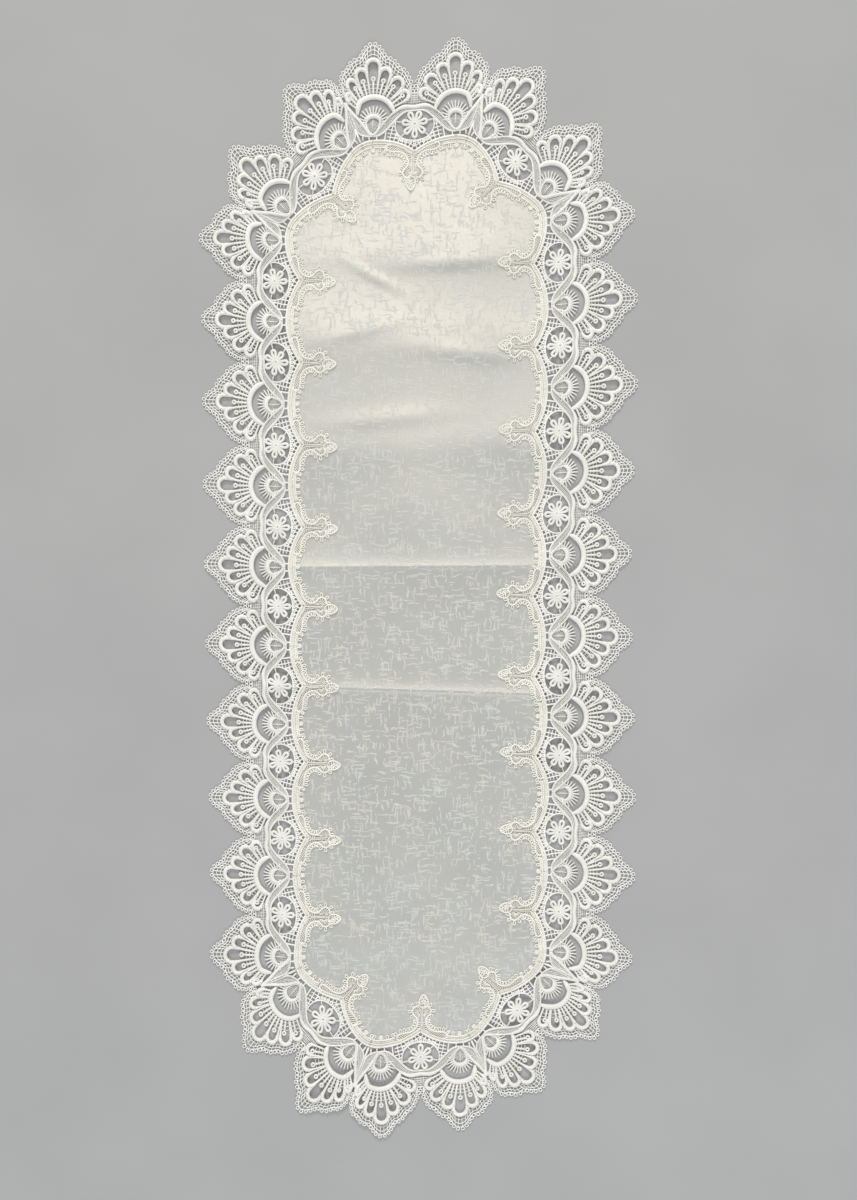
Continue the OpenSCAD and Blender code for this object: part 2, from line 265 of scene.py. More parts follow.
def place(strip, pod, line, crowding):
    """A line in pitches, from a pod's dip or halfway between two pods, as points on the table in metres."""
    out, along = line[:, 0], line[:, 1]
    far = np.abs(along)
    if crowding:
        beside = ((pod == strip.pods - 1) & (along > 0)) | ((pod == 0) & (along < 0))
        far = np.where(beside, crowd(far, out), far)
    along = pod - (strip.pods - 1) / 2 + np.sign(along) * far
    turn = np.radians(strip.angle)
    x = strip.centre[0] + PITCH * (out * np.cos(turn) - along * np.sin(turn))
    y = strip.centre[1] + PITCH * (out * np.sin(turn) + along * np.cos(turn))
    return drift(np.column_stack([x, y]))


class Lace:
    """Collects the swept threads of one piece and makes its mesh."""

    def __init__(self):
        self.corners, self.quads, self.uvs, self.total = [], [], [], 0

    def sweep(self, t, path, base):
        """Adds one thread as rings of corners round its path, above a base height."""
        n, s = len(path), t.sides
        if t.closed:
            along = np.roll(path, -1, 0) - np.roll(path, 1, 0)
        else:
            along = np.gradient(path, axis=0)
        along /= np.maximum(np.linalg.norm(along, axis=1), 1e-9)[:, None]
        left = np.column_stack([-along[:, 1], along[:, 0]])
        round_it = 2 * np.pi * np.arange(s) / s
        across = (t.wide * MM)[:, None] * np.cos(round_it)
        up = (t.high * MM)[:, None] * np.sin(round_it)
        rings = np.empty((n, s, 3))
        rings[..., 0] = path[:, :1] + left[:, :1] * across
        rings[..., 1] = path[:, 1:] + left[:, 1:] * across
        rings[..., 2] = (base + t.lift * MM)[:, None] + up
        self.corners.append(rings.reshape(-1, 3))
        self.wrap(t, path)
        if not t.closed:
            self.cap(n, s)
        self.total += n * s

    def wrap(self, t, path):
        """Adds the faces from each ring to the next. Their UVs are mm along the thread and the way round."""
        n, s = len(path), t.sides
        shut = np.vstack([path, path[:1]]) if t.closed else path
        gone = run_along(shut) / MM
        spans = n if t.closed else n - 1
        i, j = np.meshgrid(np.arange(spans), np.arange(s), indexing="ij")
        near, far, turned = i * s, ((i + 1) % n) * s, (j + 1) % s
        quads = np.stack([near + j, near + turned, far + turned, far + j], -1).reshape(-1, 4)
        here, there = gone[i], gone[i + 1]
        low, high = j / s, (j + 1) / s
        uvs = np.stack([np.stack([here, low], -1), np.stack([here, high], -1),
                        np.stack([there, high], -1), np.stack([there, low], -1)], 2).reshape(-1, 4, 2)
        self.quads.append(quads + self.total)
        self.uvs.append(uvs)

    def cap(self, rings, sides):
        """Closes the first and the last ring of an open thread with quads."""
        a = np.arange(sides // 2 - 1)
        face = np.stack([a, a + 1, sides - 2 - a, sides - 1 - a], -1)
        ends = np.vstack([face[:, ::-1], face + (rings - 1) * sides])
        self.quads.append(ends + self.total)
        self.uvs.append(np.zeros((len(ends), 4, 2)))

    def lay(self, threads, strip, pod, above=0.0, crowding=True):
        """Lays threads at one pod or valley of a strip, above the underside by a height in metres."""
        for t in threads:
            path = place(strip, pod, t.line, crowding)
            self.sweep(t, path, relief(path) + above)

    def make(self, name, slot, material, *nodes):
        """The mesh of all the threads laid so far."""
        return make_piece(name, np.vstack(self.corners), np.vstack(self.quads), np.vstack(self.uvs),
                          material, nodes)


def make_piece(name, corners, faces, uvs, material, nodes):
    """A smooth mesh that rides on the runner and stands for CAD nodes."""
    sides = faces.shape[1]
    mesh = bpy.data.meshes.new(name)
    mesh.vertices.add(len(corners))
    mesh.vertices.foreach_set("co", corners.astype(np.float32).ravel())
    mesh.loops.add(faces.size)
    mesh.loops.foreach_set("vertex_index", faces.astype(np.int32).ravel())
    mesh.polygons.add(len(faces))
    mesh.polygons.foreach_set("loop_start", np.arange(0, faces.size, sides, dtype=np.int32))
    if uvs is not None:
        layer = mesh.uv_layers.new(name="Thread")
        layer.data.foreach_set("uv", uvs.astype(np.float32).ravel())
    mesh.update(calc_edges=True)
    mesh.polygons.foreach_set("use_smooth", np.ones(len(faces), bool))
    mesh.validate()
    mesh.materials.append(material)
    piece = bpy.data.objects.new(name, mesh)
    bpy.context.scene.collection.objects.link(piece)
    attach(piece, "root")
    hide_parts(*nodes)
    return piece


# ---------------------------------------------------------------- shells

# The petals of half a shell: the angles at which a petal's cord leaves and meets the arc, then the middle
# of its cap, the cap's radius and the way it points.
PETALS = [(-7.7, 7.7, 0.77, 0.0, 0.085, 0), (8.3, 24.2, 0.68, 0.147, 0.069, 17),
          (25.0, 44.8, 0.562, 0.290, 0.074, 37), (46.0, 65.0, 0.425, 0.372, 0.058, 57)]
PETAL_FOOT = 0.262      # how far from ARC_AT a petal's cord leaves the arc
# The columns in them: the angle of each, and how far from ARC_AT its eyelet is.
COLUMNS = [(0, 0.443), (16.5, 0.434), (35.2, 0.42), (56.0, 0.424)]
EYELET_R = 0.02
ARC_OUT, ARC_ALONG = 0.237, 0.252   # half the heavy arc's size each way


def petal(left, right, out, along, radius, points):
    """A hairpin of cord that starts and ends on the arc, thickest round its cap."""
    cap = polar((out, along), radius, points + np.arange(-90, 91, 18))
    line = spline(np.vstack([polar(ARC_AT, PETAL_FOOT, left), cap, polar(ARC_AT, PETAL_FOOT, right)]), 3)
    share = length_share(line)
    wide = 0.8 + 1.0 * smooth((0.25 - np.abs(share - 0.5)) / 0.13)
    return thread(line, wide, 0.35 + 0.55 * wide, sides=8)


def column(angle, eyelet):
    """A satin column with an eyelet on its end, and the bars that tie it to the petal's sides."""
    stem = polar(ARC_AT, np.array([0.25, 0.30, 0.36, eyelet - EYELET_R]), angle)
    ring = polar(ARC_AT, eyelet, angle)[0] + polar((0, 0), EYELET_R, np.arange(0, 360, 30))
    parts = [thread(stem, [0.8, 0.9, 0.95, 1.0], 0.8, 0.85), thread(ring, 0.85, 0.75, 0.95, closed=True)]
    for out in (0.30, 0.342, 0.385):
        parts.append(fine(polar(ARC_AT, out, angle + np.array([-8, -4, 0, 4, 8])), 0.38, 0.6))
    return parts


def shell():
    """The fan of petals over a pod, with the heavy arc that they stand on."""
    turn = np.linspace(-80, 80, 37)
    arc = np.column_stack([0.2 + ARC_OUT * np.cos(np.radians(turn)), ARC_ALONG * np.sin(np.radians(turn))])
    bulk = smooth((84 - np.abs(turn)) / 26)
    parts = [thread(arc, 1.0 + 1.3 * bulk, 0.6 + 0.55 * bulk, sides=8)]
    parts += [petal(*PETALS[0])] + column(*COLUMNS[0])
    for p in PETALS[1:]:
        parts += both_sides([petal(*p)])
    for c in COLUMNS[1:]:
        parts += both_sides(column(*c))
    return parts


# ---------------------------------------------------------------- picot edge

# The outside of the mesh round half a shell, and the line of the caps where it starts: [outwards, along].
MESH_RIM = [(1.025, 0), (1.01, 0.045), (0.96, 0.09), (0.90, 0.125), (0.855, 0.155), (0.85, 0.20),
            (0.82, 0.25), (0.77, 0.285), (0.735, 0.31), (0.725, 0.35), (0.685, 0.39), (0.635, 0.415),
            (0.60, 0.43), (0.565, 0.45), (0.51, 0.462), (0.47, 0.46)]
MESH_FOOT = [(0.87, 0), (0.84, 0.065), (0.775, 0.095), (0.755, 0.14), (0.73, 0.20), (0.66, 0.225),
             (0.64, 0.285), (0.605, 0.345), (0.53, 0.365), (0.50, 0.40), (0.46, 0.435), (0.43, 0.44)]
SPOKE_GAP = 0.05
RIM_PICOT_R = 0.02


def picot_mesh():
    """The net outside the petals of one shell, with a picot at the end of each of its spokes."""
    rim = np.vstack([np.array(MESH_RIM)[:0:-1] * (1, -1), MESH_RIM])
    foot = np.vstack([np.array(MESH_FOOT)[:0:-1] * (1, -1), MESH_FOOT])
    count = int(length_of(rim) / SPOKE_GAP)
    ends, roots = evenly(rim, count), evenly(foot, count)
    parts = [fine(ends, 0.42)]
    for share in (0.36, 0.7):
        parts.append(fine(roots + share * (ends - roots), 0.4))
    parts += [fine([a, b], 0.4) for a, b in zip(roots, ends)]
    for end, step in zip(ends, -side_steps(ends)):
        ring = end + RIM_PICOT_R * step + polar((0, 0), RIM_PICOT_R, np.arange(0, 360, 45))
        parts.append(thread(ring, 0.45, 0.4, 0.55, 4, closed=True))
    return parts


def valley_mesh():
    """The net in the corner between neighbouring shells and the ribbon, from a valley."""
    parts = []
    for out, half in ((0.345, 0.15), (0.37, 0.10), (0.395, 0.075), (0.42, 0.06), (0.445, 0.05)):
        parts.append(fine([[out, -half], [out, 0], [out, half]]))
    for along in np.arange(-0.14, 0.141, 0.02):
        top = 0.46 if abs(along) < 0.06 else 0.40
        parts.append(fine([[0.31, along], [top, along * 0.9]]))
    return parts


# ---------------------------------------------------------------- pods

def pod_ring(half, bottom, top):
    """A seed's outline, wider at its bottom."""
    t = np.linspace(0, 2 * np.pi, 28, endpoint=False)
    middle, length = (bottom + top) / 2, (top - bottom) / 2
    return np.column_stack([middle - length * np.cos(t), half * np.sin(t) * (1 - 0.3 * np.cos(t))])


def pod():
    """The seed in a shell's hollow: a ring filled with net, rays round its head and bars beside its foot."""
    ring = pod_ring(0.08, 0.018, 0.222)
    bulk = smooth((ring[:, 0] - 0.14) / 0.07)
    parts = [thread(ring, 0.8 + 1.1 * bulk, 0.65 + 0.4 * bulk, sides=8, closed=True),
             thread([[0.04, 0], [0.12, 0.002], [0.2, 0]], [0.3, 0.5, 0.4], 0.4, 0.7)]
    for along in (-0.06, -0.045, -0.03, -0.015, 0.015, 0.03, 0.045, 0.06):
        half = 0.09 * np.sqrt(max(0, 1 - (along / 0.078) ** 2))
        parts.append(fine([[0.12 - half, along], [0.12 + half, along]], 0.17, 0.3))
    for out in np.arange(0.05, 0.2, 0.016):
        half = 0.07 * np.sqrt(max(0, 1 - ((out - 0.13) / 0.095) ** 2))
        parts.append(fine([[out, -half], [out, half]], 0.17, 0.3))
    for a in np.linspace(-98, 98, 15):
        reach = 0.196 - 0.035 * smooth((abs(a) - 60) / 35)
        radii = np.array([0.09, 0.125, reach - 0.012, reach])
        parts.append(thread(polar(POD_AT, radii, a), [0.85, 0.65, 0.6, 0.35], [0.6, 0.6, 0.5, 0.25], 0.75))
    parts.append(fine(polar(POD_AT, 0.118, np.linspace(-108, 108, 33)), 0.4, 0.7))
    for out in (0.062, 0.085, 0.108):
        far = 0.93 * out
        parts += both_sides([thread([[out + 0.02, 0.05], [out, far + 0.01]], 0.5, 0.4, 0.7, 4)])
    return parts


# ---------------------------------------------------------------- ribbon

def ribbon_part(outer, inner, count, outer_wide, inner_wide=0.85):
    """Two cords and the mesh between them. Both edges are lists of points along the ribbon."""
    edge_a, edge_b = evenly(outer, count), evenly(inner, count)
    parts = [thread(edge_a, outer_wide, 0.95, 0.95, 8), thread(edge_b, inner_wide, 0.75, 0.75, 6)]
    for share in (0.2, 0.4, 0.6, 0.8):
        parts.append(fine(edge_a + share * (edge_b - edge_a), 0.32, 0.5))
    for a, b in zip(edge_a[1:-1], edge_b[1:-1]):
        parts.append(fine([a, b], 0.2, 0.35))
    return parts


def ribbon_span():
    """The ribbon from one pod to the next over a daisy, from the valley."""
    along = np.linspace(-0.5, 0.5, 81)
    far = 0.5 - np.abs(along)
    outer = np.column_stack([ribbon_outer(far), along])
    inner = np.column_stack([ribbon_inner(far), along])
    share = np.linspace(0, 1, 65)
    wide = 0.7 + 0.95 * smooth((0.26 - np.abs(share - 0.5)) / 0.16)
    return ribbon_part(outer, inner, 65, wide)


MITRE_OUTER = [(0, 0), (0.025, 0.05), (0.10, 0.10), (0.18, 0.165), (0.26, 0.245), (0.33, 0.305),
               (0.385, 0.334)]
MITRE_INNER = [(-0.008, 0), (-0.006, 0.05), (0.0, 0.10), (0.02, 0.15), (0.055, 0.185)]


def ribbon_mitre():
    """The ribbon from a strip's last pod to its mitre, where it runs out in a point."""
    up = np.linspace(0.09, 0.385, 7)
    seam = np.column_stack([up, PAST_POD + up * MITRE_SLOPE - 0.012])
    outer = spline(MITRE_OUTER, 6)
    inner = spline(np.vstack([MITRE_INNER, seam]), 6)
    wide = 0.95 + 0.45 * smooth(np.linspace(0, 1.6, 45))
    return ribbon_part(outer, inner, 45, wide, 0.7)


# ---------------------------------------------------------------- daisies

DAISY_PETALS = 7
# A petal's loop of cord, from the middle of the daisy: [outwards, aside].
PETAL_LOOP = np.array([(0.03, -0.008), (0.075, -0.016), (0.105, -0.024), (0.135, -0.021), (0.147, 0),
                       (0.135, 0.021), (0.105, 0.024), (0.075, 0.016), (0.03, 0.008)])


def daisy():
    """Seven petals round a dense ring, from a valley. A short thread ties each to the edge of the opening."""
    centre = (DAISY_OUT, 0)
    parts = [thread(polar(centre, 0.026, np.arange(0, 360, 30)), 1.5, 0.95, 1.0, closed=True)]
    aside = np.degrees(np.arctan2(PETAL_LOOP[:, 1], PETAL_LOOP[:, 0]))
    for j in range(DAISY_PETALS):
        points = 180 + j * 360 / DAISY_PETALS
        loop = polar(centre, np.hypot(*PETAL_LOOP.T), points + aside)
        parts.append(thread(spline(loop, 3), 1.2, 0.9, 0.95))
        from_out = abs((points + 180) % 360 - 180)
        if from_out > 75:
            far = arch_radius(180 - from_out)
        else:
            far = 0.178 if from_out > 30 else 0.155
        parts.append(fine(polar(centre, np.array([0.15, far]), points), 0.6, 0.8))
    return parts


# ---------------------------------------------------------------- ladder

NET_ROW = 0.042         # from one row of the net to the next
NET_BARS = (0.2, 0.25, 0.298, 0.343, 0.386, 0.427, 0.466)   # how far from the pod each bar starts
ROOT_BARS = (0.045, 0.14)                                   # the same for the two bars beside the pod


def in_net(out, far):
    """Whether a point far from its pod lies between the cloth's edge, the ribbon and the daisy's opening."""
    inwards, aside = DAISY_OUT - out, 0.5 - far
    opening = arch_radius(np.degrees(np.arctan2(aside, inwards)))
    return (out < ribbon_inner(far)) & (np.hypot(inwards, aside) > opening - 0.004) & (far < 0.502)


def net_bar(far):
    """A bar from the cloth's edge towards the ribbon or the arch, square to the edge."""
    turn = np.degrees(np.arcsin(far / SCALLOP_R))
    grow = np.arange(0, 0.26, 0.005)
    line = polar((-CLOTH_GAP - SCALLOP_R, 0), SCALLOP_R + grow, turn)
    inside = in_net(line[:, 0], line[:, 1])
    stop = len(line) if inside.all() else max(2, np.argmin(inside) + 1)
    return line[:stop]


def net_rows():
    """The lines of the net, parallel to the cloth's edge, where there is room for them."""
    rows = []
    for k in range(1, 6):
        line = cloth_edge(k * NET_ROW, count=61)
        inside = in_net(line[:, 0], line[:, 1]) & (line[:, 1] > 0.17)
        starts = np.flatnonzero(inside & ~np.roll(inside, 1))
        for s in starts:
            length = np.argmin(inside[s:]) or len(inside) - s
            if length > 2:
                rows.append(line[s:s + length])
    return rows


def ladder_half():
    """Half a valley's net, from the pod beside it."""
    parts = [fine(row, 0.48, 0.6) for row in net_rows()]
    for far in ROOT_BARS:
        parts.append(thread(net_bar(far), 0.7, 0.5, 0.7, 4))
    for far in NET_BARS:
        parts.append(fine(net_bar(far), 0.55, 0.7))
    parts.append(thread(cloth_edge(-0.002), 0.7, 0.6, 0.8))
    return parts


def ladder_mitre():
    """The few bars between the last pod and the mitre."""
    parts = [thread(corner_edge(-0.002), 0.7, 0.6, 0.8)]
    for far in (0.045, 0.12):
        line = np.array([[-CLOTH_GAP, far], [ribbon_inner(far), far + 0.006]])
        parts.append(thread(line, 0.7, 0.5, 0.7, 4))
    up = np.array([-0.07, 0.0, 0.09])
    parts.append(thread(np.column_stack([up, PAST_POD + up * MITRE_SLOPE - 0.006]), 0.5, 0.45, 0.7, 4))
    return parts


CHAIN_R = 0.017


def arch():
    """The thread round the cloth side of a daisy's opening, and the chain of rings outside it."""
    centre = (DAISY_OUT, 0)
    inwards = np.linspace(-103, 103, 41)
    parts = [thread(polar(centre, arch_radius(inwards), inwards + 180), 0.55, 0.5, 0.75)]
    for turn in np.arange(-60, 61, 15):
        middle = polar(centre, arch_radius(turn) + 0.024, turn + 180)[0]
        ring = middle + polar((0, 0), CHAIN_R, np.arange(0, 360, 45))
        parts.append(thread(ring, 0.6, 0.5, 0.75, 4, closed=True))
    return parts


# ---------------------------------------------------------------- scroll braid, laid on the cloth

# How far in from the cloth's edge the three cords of the braid are.
BAND_OUTER, BAND_MIDDLE, BAND_INNER = 0.008, 0.04, 0.085
# The loops along the braid: from one to the next, how far they reach, half their width, and the free ends.
LOOP_GAP, LOOP_REACH, LOOP_HALF, LOOP_SKIP = 0.044, 0.054, 0.0165, 0.02
LOOP_SHAPE = ((0.1, -0.35), (0.5, -0.8), (0.85, -0.8), (1, 0), (0.85, 0.8), (0.5, 0.8), (0.1, 0.35))
MOTIF_ASIDE = 0.022     # how far a motif's axis is from the valley
# The cloth side of a motif's vine, from the top of its bud to the foot of the leaf, and its stem's axis.
VINE = [(-0.120, 0.255), (-0.130, 0.305), (-0.160, 0.322), (-0.195, 0.290), (-0.207, 0.230), (-0.213, 0.170),
        (-0.232, 0.118), (-0.270, 0.075), (-0.332, 0.051), (-0.380, 0.063), (-0.417, 0.101), (-0.460, 0.121),
        (-0.495, 0.104), (-0.515, 0.068), (-0.510, 0.035)]
STEM = [(-0.250, 0.020), (-0.340, 0.009), (-0.410, 0.008), (-0.490, 0.010)]
LOBE_FOOT = (-0.44, 0.02)
LEAF_AT = (-0.574, 0.028)
LEAF_LONG, LEAF_WIDE = 0.08, 0.058      # half its length and half its width


def cord(line, wide=0.68):
    return thread(line, wide, 0.65, 0.6)


def stitches(line_a, line_b, gap, wide=0.3):
    """Fine stitches between two lines, a gap apart."""
    count = int(max(length_of(line_a), length_of(line_b)) / gap)
    return [fine([a, b], wide) for a, b in zip(evenly(line_a, count), evenly(line_b, count))]


def tape(line_a, line_b):
    """The flat woven tape between two cords."""
    count = max(len(line_a), len(line_b))
    a, b = evenly(line_a, count), evenly(line_b, count)
    return [thread((a + b) / 2, np.linalg.norm(a - b, axis=1) / 2 * PITCH / MM, 0.15, 0.3, 4)]


def picots(line):
    """Small loops along the left of a line."""
    total = length_of(line)
    count = max(2, int((total - 2 * LOOP_SKIP) / LOOP_GAP))
    dense = evenly(line, 200)
    left = side_steps(dense)
    ahead = np.column_stack([left[:, 1], -left[:, 0]])
    skip = 200 * LOOP_SKIP / total
    loops = []
    for k in np.linspace(skip, 199 - skip, count).astype(int):
        loop = [dense[k] + left[k] * LOOP_REACH * up + ahead[k] * LOOP_HALF * off for up, off in LOOP_SHAPE]
        loops.append(thread(spline(loop, 2), 0.56, 0.5, 0.55, 4))
    return loops


def begun_early(line):
    """A line that starts beside a pod, begun a little before it so that the two halves overlap."""
    return np.vstack([line[0] - (0, 0.012), line])


def band(edge_at, inner_end=0.5):
    """The braid along part of the cloth's edge: three cords, the tape and stitches between them, and loops on
    the inner cord, which ends at a distance from the pod."""
    outer, middle, inner = (begun_early(edge_at(-off)) for off in (BAND_OUTER, BAND_MIDDLE, BAND_INNER))
    parts = [cord(outer), cord(middle, 0.5)] + tape(outer, middle) + stitches(outer, middle, 0.018)
    free = inner[:, 1] < inner_end
    inner, middle = inner[free], middle[free]
    return parts + [cord(inner)] + tape(middle, inner) + stitches(middle, inner, 0.02) + picots(inner)


def band_half():
    """The braid along half a scallop. Its inner cord ends at the bud of a motif."""
    return band(lambda grow: cloth_edge(grow, count=19), 0.2)


def band_mitre():
    """The braid from the last pod to the mitre."""
    return band(corner_edge)


def vine():
    """One vine of a motif: a bud on the braid, a bend into the stem and a lobe beside the leaf."""
    line = spline(VINE, 4)
    braid = cloth_edge(-BAND_MIDDLE, count=25) * (1, -1) + (0, 0.5)
    braid = braid[(braid[:, 1] < 0.29) & (braid[:, 1] > 0.06)]
    spine = spline(np.vstack([braid[::4], STEM]), 4)
    share = length_share(line)
    lobe_from = 0.63
    bend = line[(share > 0.1) & (share < lobe_from)]
    lobe = line[share > lobe_from]
    inner_lobe = LOBE_FOOT + (lobe - LOBE_FOOT) * 0.2
    return ([cord(line, 0.75), cord(spine[spine[:, 0] < -0.2], 0.4)] + stitches(bend, spine[:-9], 0.023, 0.42)
            + stitches(lobe, inner_lobe, 0.026, 0.38) + picots(line[8:][::-1]))


def leaf_edge(grow, degrees):
    """The outline of the leaf, a little pointed at its tip, moved outwards by grow."""
    t = np.radians(degrees)
    width = (LEAF_WIDE + grow) * (1 - 0.25 * np.cos(t))
    return LEAF_AT + np.column_stack([-(LEAF_LONG + grow) * np.cos(t), -width * np.sin(t)])


def leaf():
    """The oval leaf at the tip of a motif, leaning to one side, with bars across it and picots round it."""
    parts = [cord(leaf_edge(0, np.arange(0, 360, 20)), 0.62)._replace(closed=True)]
    for degrees in (42, 66, 90, 114, 138):
        parts.append(fine(leaf_edge(0, np.array([degrees, -degrees])), 0.34, 0.45))
    return parts + picots(leaf_edge(0.004, np.linspace(-118, 118, 30)))


def motif():
    """The motif of a valley, whose axis is a little to one side of it."""
    return [t._replace(line=t.line + (0, MOTIF_ASIDE)) for t in both_sides(vine()) + leaf()]


# ---------------------------------------------------------------- mitre stitches

ZIGZAG_STEP, ZIGZAG_HALF = 0.026, 0.018


def mitre_zigzag():
    """The zigzag over the join of two ribbons, from the last pod of a strip."""
    parts = []
    out = np.arange(0.10, 0.365, ZIGZAG_STEP)
    seam = PAST_POD + out * MITRE_SLOPE
    for k in range(len(out) - 1):
        side = ZIGZAG_HALF if k % 2 else -ZIGZAG_HALF
        ends = np.array([[out[k], seam[k] - side], [out[k + 1], seam[k + 1] + side]])
        parts.append(thread(ends, 0.24, 0.2, 1.75, 4))
    return parts


# ---------------------------------------------------------------- cloth

def cloth_outline():
    """The cloth's edge right round, in metres."""
    points = []
    for strip in STRIPS:
        last = strip.pods - 1
        for pod in range(strip.pods):
            before = cloth_edge(0) if pod > 0 else corner_edge(0)
            after = cloth_edge(0) if pod < last else corner_edge(0)
            points.append(place(strip, pod, before[1:][::-1] * (1, -1), False))
            points.append(place(strip, pod, after, False)[:-1])
    return np.vstack(points)


def inside(outline, p):
    """Which points lie inside a closed outline."""
    a, b = outline, np.roll(outline, -1, 0)
    hits = np.zeros(len(p), bool)
    for (ax, ay), (bx, by) in zip(a, b):
        if ay != by:
            across = (ay > p[:, 1]) != (by > p[:, 1])
            hits ^= across & (p[:, 0] < (bx - ax) * (p[:, 1] - ay) / (by - ay) + ax)
    return hits


GRID_STEP = 0.0028      # metres
RIM_GAP = 0.0015        # from the outline to the nearest point inside it, in metres


def cloth_grid(outline):
    """Points all over the cloth, with three close rows of them along each sharp crease."""
    low, high = outline.min(0), outline.max(0)
    across = np.arange(low[0], high[0], GRID_STEP)
    x, y = np.meshgrid(across, np.arange(low[1], high[1], GRID_STEP))
    points = np.column_stack([x.ravel(), y.ravel()])
    rows = []
    for row_at, slant, _ in CREASES:
        points = points[np.abs(points[:, 1] - row_at - slant * points[:, 0]) > 0.9 * GRID_STEP]
        for beside in (-GRID_STEP / 2, 0, GRID_STEP / 2):
            rows.append(np.column_stack([across, row_at + beside + slant * across]))
    points = np.vstack([points] + rows)
    shrunk = outline * (1 - RIM_GAP / np.linalg.norm(outline, axis=1))[:, None]
    return points[inside(shrunk, points)]


def make_cloth(material):
    """The cloth as a closed sheet of two layers and a rim, with its flat size and its area."""
    outline = cloth_outline()
    points = np.vstack([outline, cloth_grid(outline)])
    rim = list(range(len(outline)))
    flat, _, faces, _, _, _ = delaunay_2d_cdt([Vector(p) for p in points], [], [rim], 1, 1e-7)
    flat, top_faces = np.array(flat)[:, :2], np.array(faces)
    n = len(flat)
    base = relief(flat)
    corners = np.vstack([np.column_stack([flat, base + CLOTH_T]), np.column_stack([flat, base])])
    a, b = np.array(rim), np.roll(rim, -1)
    wall = np.vstack([np.column_stack([a, a + n, b + n]), np.column_stack([a, b + n, b])])
    faces = np.vstack([top_faces, top_faces[:, ::-1] + n, wall])
    cloth = make_piece("cloth", corners, faces, None, material, ["cloth_panel"])
    x, y = outline.T
    area = 0.5 * abs(np.dot(x, np.roll(y, -1)) - np.dot(y, np.roll(x, -1)))
    return cloth, np.ptp(outline, axis=0), area


# ---------------------------------------------------------------- materials

class Nodes:
    """A material's node tree, with a short way to add and join nodes."""

    def __init__(self, name):
        self.material = bpy.data.materials.new(name)
        self.material.use_nodes = True
        self.tree = self.material.node_tree
        self.shader = self.tree.nodes["Principled BSDF"]

    def add(self, kind, inputs=None, **settings):
        node = self.tree.nodes.new("ShaderNode" + kind)
        for key, value in settings.items():
            setattr(node, key, value)
        for key, value in (inputs or {}).items():
            self.set(node.inputs[key], value)
        return node

    def set(self, socket, value):
        if isinstance(value, bpy.types.NodeSocket):
            self.tree.links.new(value, socket)
        else:
            socket.default_value = value

    def math(self, operation, a, b=0.0, clamp=False):
        """A calculation on one or two values."""
        node = self.add("Math", {0: a, 1: b}, operation=operation, use_clamp=clamp)
        return node.outputs[0]

    def fade(self, value, low, high, out_low=0.0, out_high=1.0):
        """A smooth step from one value to another, as the input goes from low to high."""
        span = {"Value": value, "From Min": low, "From Max": high, "To Min": out_low, "To Max": out_high}
        return self.add("MapRange", span, interpolation_type="SMOOTHSTEP").outputs["Result"]

    def noise(self, where, scale, detail):
        return self.add("TexNoise", {"Vector": where, "Scale": scale, "Detail": detail}).outputs["Fac"]


def colour_mix(nodes, share, a, b):
    """A mix of two colours. The Mix node's colour sockets are numbers 6 and 7, and its result is number 2."""
    node = nodes.tree.nodes.new("ShaderNodeMix")
    node.data_type = "RGBA"
    nodes.set(node.inputs[0], share)
    nodes.set(node.inputs[6], a)
    nodes.set(node.inputs[7], b)
    return node.outputs[2]


def satin_thread(name, light, dark, rib=0.42, depth=0.35, roughness=0.5):
    """Satin-stitched cord: fine ribs across it, `rib` mm apart, with painted shade in the grooves between
    them, a little fuzz and slow changes of tone from dark to light."""
    m = Nodes(name)
    uv = m.add("UVMap", uv_map="Thread").outputs["UV"]
    along = m.add("SeparateXYZ", {"Vector": uv})
    here = m.add("TexCoord").outputs["Object"]
    wander = m.math("MULTIPLY", m.noise(here, 900, 2), 5.0)
    turns = m.math("ADD", m.math("MULTIPLY", along.outputs["X"], 2 * np.pi / rib), wander)
    ribs = m.math("SINE", turns)
    tone = m.fade(m.noise(here, 60, 4), 0.35, 0.65)
    # The colour follows the ribs as well as the random tone: the grooves between the ribs get painted shade.
    stitched = m.math("ADD", m.math("MULTIPLY", ribs, 0.18), m.math("MULTIPLY", tone, 0.8), clamp=True)
    m.set(m.shader.inputs["Base Color"], colour_mix(m, stitched, dark, light))
    m.set(m.shader.inputs["Roughness"], m.fade(tone, 0, 1, roughness + 0.08, roughness - 0.06))
    fuzz = m.math("MULTIPLY", m.noise(here, 2600, 2), 0.8)
    height = m.math("ADD", ribs, fuzz)
    bump = m.add("Bump", {"Height": height, "Strength": depth, "Distance": 0.00012})
    m.set(m.shader.inputs["Normal"], bump.outputs["Normal"])
    m.shader.inputs["Sheen Weight"].default_value = 0.25
    m.shader.inputs["Sheen Roughness"].default_value = 0.5
    m.shader.inputs["Specular IOR Level"].default_value = 0.45
    return m.material


# The sets of strokes in the woven figure: a cell's size across and along the runner in metres, and a seed.
STROKE_SETS = [(0.036, 0.0026, 3.1), (0.022, 0.0031, 5.3), (0.0026, 0.034, 7.7), (0.0032, 0.020, 9.2)]
WARP_GAP, WEFT_GAP = 0.00042, 0.00055       # metres


def figure_strokes(m, bent, across, along, seed):
    """Thin strokes, one at random in each cell of a grid, where a noise lets them show."""
    scale = (1 / across, 1 / along, 1)
    spot = m.add("Mapping", {"Vector": bent, "Location": (seed, seed, 0), "Scale": scale})
    cells = m.add("TexVoronoi", {"Vector": spot.outputs[0], "Scale": 1.0}, distance="CHEBYCHEV",
                  voronoi_dimensions="2D")
    stroke = m.fade(cells.outputs["Distance"], 0.10, 0.19, 1, 0)
    spot = m.add("Mapping", {"Vector": bent, "Location": (seed, -seed, 0)})
    return m.math("MULTIPLY", stroke, m.fade(m.noise(spot.outputs[0], 75, 2), 0.46, 0.51))


